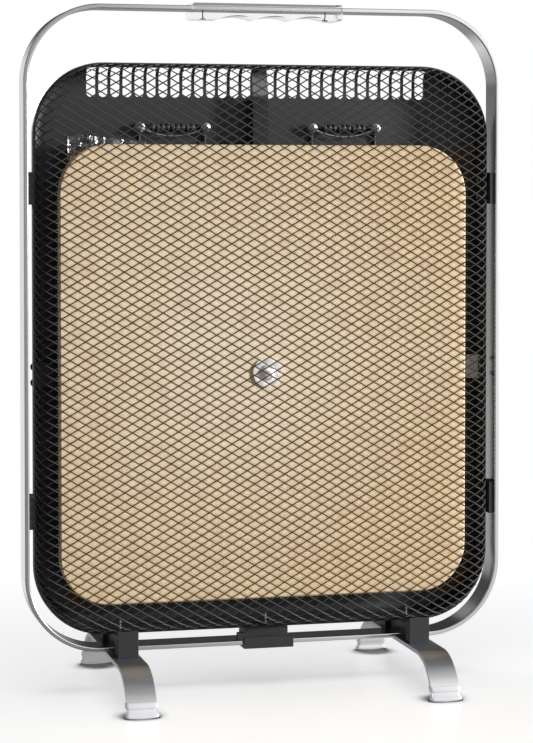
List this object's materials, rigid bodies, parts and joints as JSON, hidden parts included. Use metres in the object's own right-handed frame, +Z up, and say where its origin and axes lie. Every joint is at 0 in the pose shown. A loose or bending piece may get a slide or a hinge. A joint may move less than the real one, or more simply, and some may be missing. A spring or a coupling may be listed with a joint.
{
  "type": "electric radiator",
  "caption": "Free-standing radiant panel heater: stone plate behind expanded-metal mesh in a black tray, held in an aluminium strip frame with a clear grip and bridge feet.",
  "frame": {"origin": "floor level, in the middle of the footprint", "axes": "+Z up, the mesh front faces -Y, +X to the right as seen from the front"},
  "size_m": [0.5, 0.2708, 0.6968],
  "materials": {
    "strip_aluminium": "satin brushed along its length",
    "clear_plastic": "clear, smooth",
    "zinc_screw": "bright zinc",
    "black_screw": "black",
    "shell_enamel": "semi-matt black",
    "mesh_enamel": "semi-matt black",
    "heat_stone": "fine cut face, faintly mottled",
    "bright_washer": "bright",
    "heater_film": "smooth",
    "foil_wool": "foil-faced wool",
    "bar_steel": "plain sheet",
    "ceramic_body": "matt",
    "dark_beads": "matt",
    "plain_wire": "drawn wire",
    "lead_sleeve": "black woven sleeve",
    "bracket_plastic": "moulded",
    "cap_plastic": "translucent white",
    "box_plastic": "fine grained",
    "thermostat_tan": "moulded",
    "rocker_red": "smooth",
    "lamp_amber": "clear amber",
    "switch_grey": "moulded",
    "cutout_brass": "plain"
  },
  "bodies": {
    "heater": {"frame_loop": "strip_aluminium", "handle_grip": "clear_plastic", "handle_screws": "zinc_screw", "rear_shell": "shell_enamel", "mesh_cover": "mesh_enamel", "stone_plate": "heat_stone", "plate_washer": "bright_washer", "plate_bolt": "bright_washer", "plate_nut": "zinc_screw", "heater_mat": "heater_film", "insulation_pad": "foil_wool", "cross_bar": "bar_steel", "cross_bar_screws": "black_screw", "hanger_strap": "bar_steel", "strap_rivets": "black_screw", "terminal_standoffs": "ceramic_body", "terminal_screws": "zinc_screw", "bead_lead_left": "dark_beads", "bead_lead_right": "dark_beads", "bridge_wire_left": "plain_wire", "bridge_wire_right": "plain_wire", "heater_leads": "lead_sleeve", "supply_leads": "lead_sleeve", "side_bracket_upper_left": "bracket_plastic", "side_bracket_upper_right": "bracket_plastic", "side_bracket_lower_left": "bracket_plastic", "side_bracket_lower_right": "bracket_plastic", "side_bracket_screws": "zinc_screw", "clamp_top": "bracket_plastic", "clamp_base": "bracket_plastic", "foot_bracket_left": "bracket_plastic", "foot_bracket_right": "bracket_plastic", "base_screws": "zinc_screw", "foot_strip_left": "strip_aluminium", "foot_strip_right": "strip_aluminium", "foot_cap_front_left": "cap_plastic", "foot_cap_front_right": "cap_plastic", "foot_cap_rear_left": "cap_plastic", "foot_cap_rear_right": "cap_plastic", "control_box": "box_plastic", "control_cover": "box_plastic", "box_wall_screws": "zinc_screw", "cover_screws": "black_screw", "thermostat_body": "thermostat_tan", "rocker_housing_left": "box_plastic", "rocker_housing_right": "box_plastic", "indicator_lamp": "lamp_amber", "tilt_switch": "switch_grey", "thermal_cutout": "cutout_brass", "cord_inlet": "box_plastic"},
    "dial": {"thermostat_shaft": "zinc_screw", "thermostat_knob": "box_plastic"},
    "left_switch": {"rocker_left": "rocker_red"},
    "right_switch": {"rocker_right": "rocker_red"}
  },
  "joints": [
    {"name": "dial_turn", "type": "hinge", "parent": "heater", "child": "dial", "pos_m": [-0.032, 0.0745, 0.19], "axis": [0, -1, 0], "range_deg": [0, 270]},
    {"name": "left_rock", "type": "hinge", "parent": "heater", "child": "left_switch", "pos_m": [0.017, 0.064, 0.183], "axis": [-1, 0, 0], "range_deg": [0, 20]},
    {"name": "right_rock", "type": "hinge", "parent": "heater", "child": "right_switch", "pos_m": [0.043, 0.064, 0.183], "axis": [-1, 0, 0], "range_deg": [0, 20]}
  ]
}
